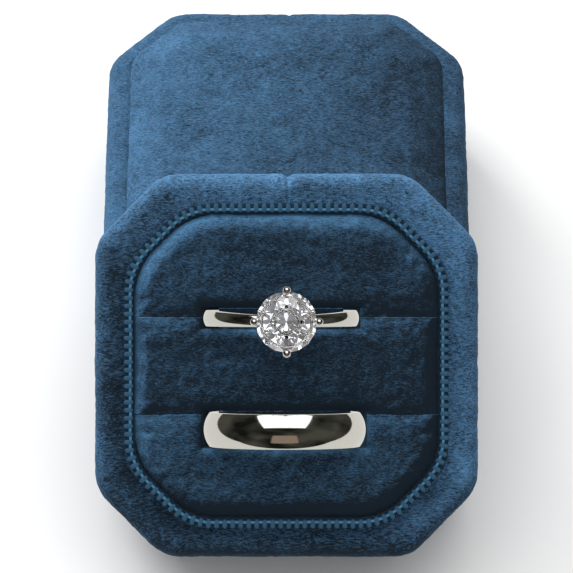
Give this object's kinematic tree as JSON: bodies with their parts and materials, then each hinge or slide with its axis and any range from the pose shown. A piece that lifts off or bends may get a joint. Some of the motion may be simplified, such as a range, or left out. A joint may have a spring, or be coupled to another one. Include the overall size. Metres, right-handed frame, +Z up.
{
  "type": "ring box",
  "caption": "Octagonal velvet ring box with a raised, trimmed collar and a slotted pad holding a band and a solitaire; its loose lid stands behind it.",
  "frame": {"origin": "on the floor, under the middle of the leaning base and standing lid taken together", "axes": "+Z up, +Y from the leaning base towards the lid behind it, +X to the right seen from the front"},
  "size_m": [0.054, 0.0936, 0.0502],
  "materials": {
    "outer_velvet": "short-pile velvet",
    "pad_velvet": "short-pile velvet, darker",
    "lining": "flocked lining",
    "trim": "woven ribbon with stitched rungs",
    "board": "grey board",
    "foam": "open-cell foam",
    "white_gold": "polished",
    "stone": "faceted, polished"
  },
  "bodies": {
    "lid": {"lid_velvet_wrap": "outer_velvet", "lid_wall_board": "board", "lid_top_board": "board", "lid_top_wadding": "foam", "lid_top_cover": "outer_velvet", "lid_wall_lining": "lining", "lid_top_lining": "lining"},
    "base": {"base_velvet_wrap": "outer_velvet", "base_wall_board": "board", "base_floor_board": "board", "base_underside_cover": "outer_velvet", "collar_board": "board", "collar_trim": "trim", "foam_bed": "foam", "pad_upper_foam": "foam", "pad_middle_foam": "foam", "pad_lower_foam": "foam", "pad_upper_cover": "pad_velvet", "pad_middle_cover": "pad_velvet", "pad_lower_cover": "pad_velvet"},
    "band": {"wedding_band": "white_gold"},
    "solitaire": {"solitaire_shank": "white_gold", "solitaire_head": "white_gold", "solitaire_stone": "stone"}
  },
  "joints": [
    {"name": "base_lift", "type": "slide", "parent": "lid", "child": "base", "axis": [0, 0, 1], "range_m": [0, 0.06]},
    {"name": "band_pull", "type": "slide", "parent": "base", "child": "band", "axis": [0, -0.5736, 0.8192], "range_m": [0, 0.02]},
    {"name": "solitaire_pull", "type": "slide", "parent": "base", "child": "solitaire", "axis": [0, -0.5736, 0.8192], "range_m": [0, 0.02]}
  ]
}
